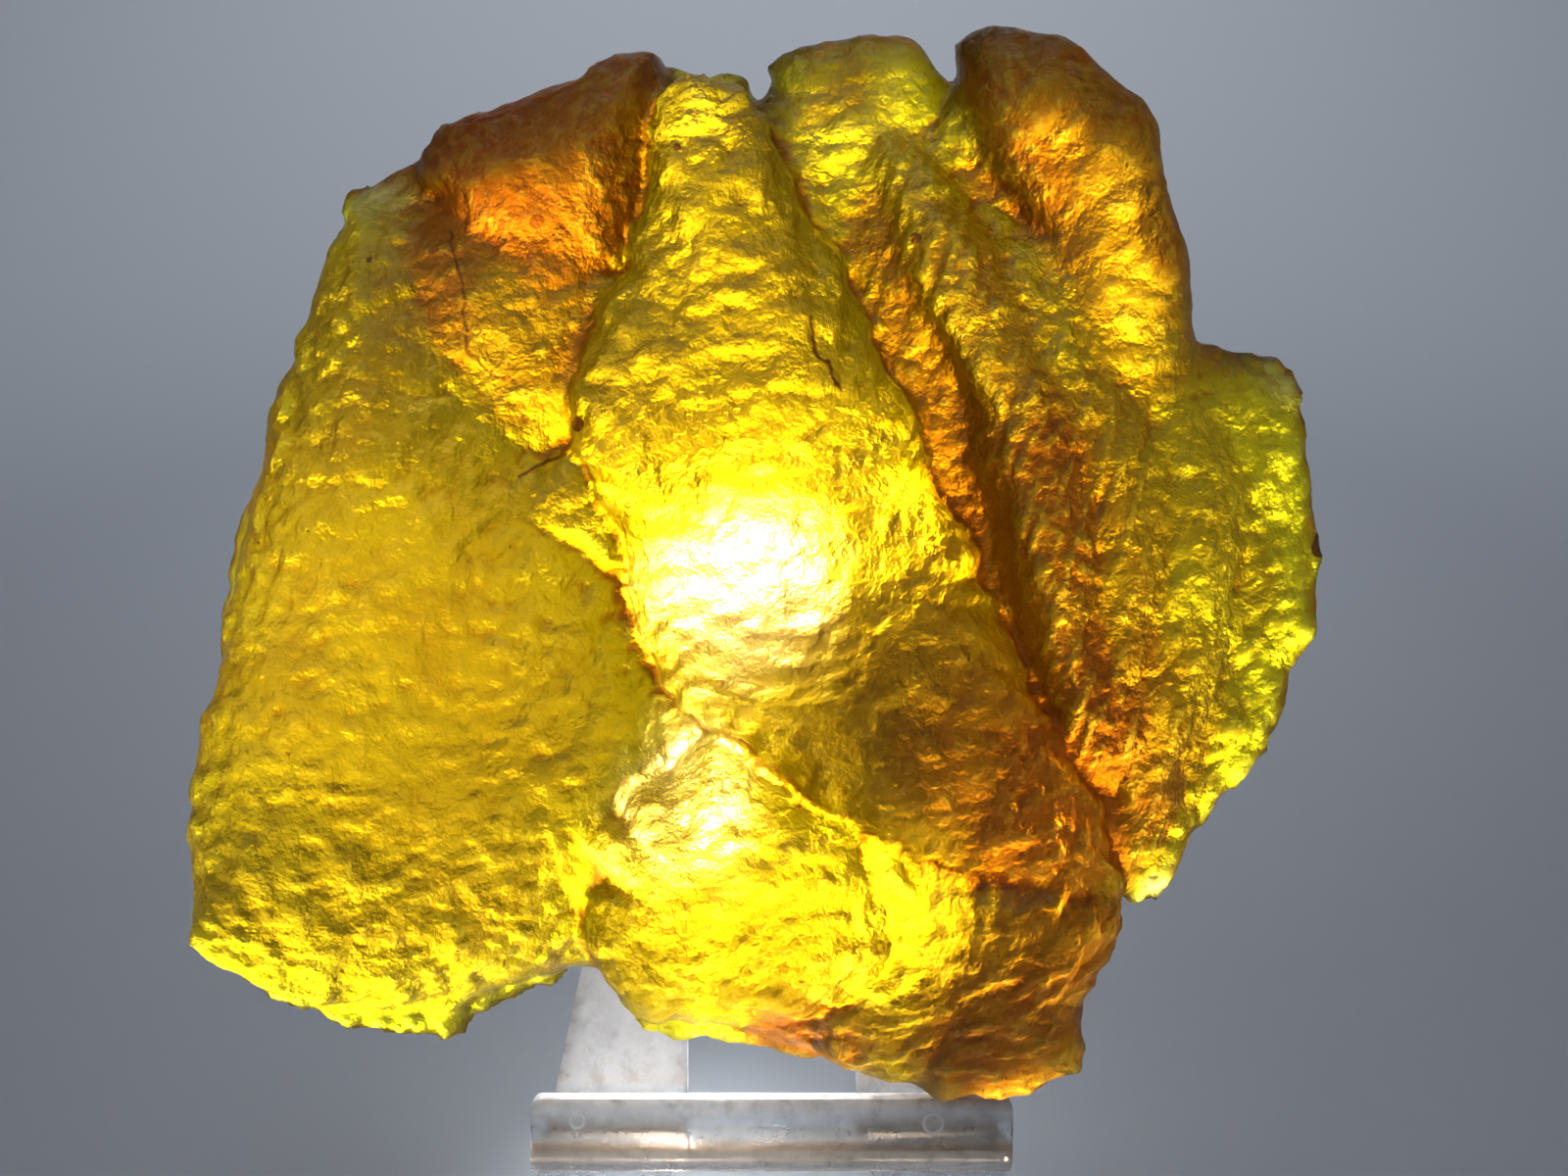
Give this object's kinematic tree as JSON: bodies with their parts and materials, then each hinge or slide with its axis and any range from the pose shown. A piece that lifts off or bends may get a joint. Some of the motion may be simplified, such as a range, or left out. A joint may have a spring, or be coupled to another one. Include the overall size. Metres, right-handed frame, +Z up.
{
  "type": "native sulfur crystal on a clear display easel",
  "caption": "Translucent yellow native sulfur specimen with grown-together blades, lobes and thin flanges, leaning on a small clear plastic easel with a front lip.",
  "frame": {"origin": "middle of the underside of the whole object's box, on the surface that the easel stands on", "axes": "+Z up, +X to the right as seen from the front, -Y towards the front"},
  "size_m": [0.1176, 0.0692, 0.1303],
  "materials": {
    "sulfur": "greasy to glassy, hackly, translucent amber yellow",
    "clear_plastic": "clear moulded acrylic, polished, a little smudged"
  },
  "bodies": {
    "root": {"sulfur_crystal": "sulfur", "display_easel": "clear_plastic"}
  },
  "joints": []
}
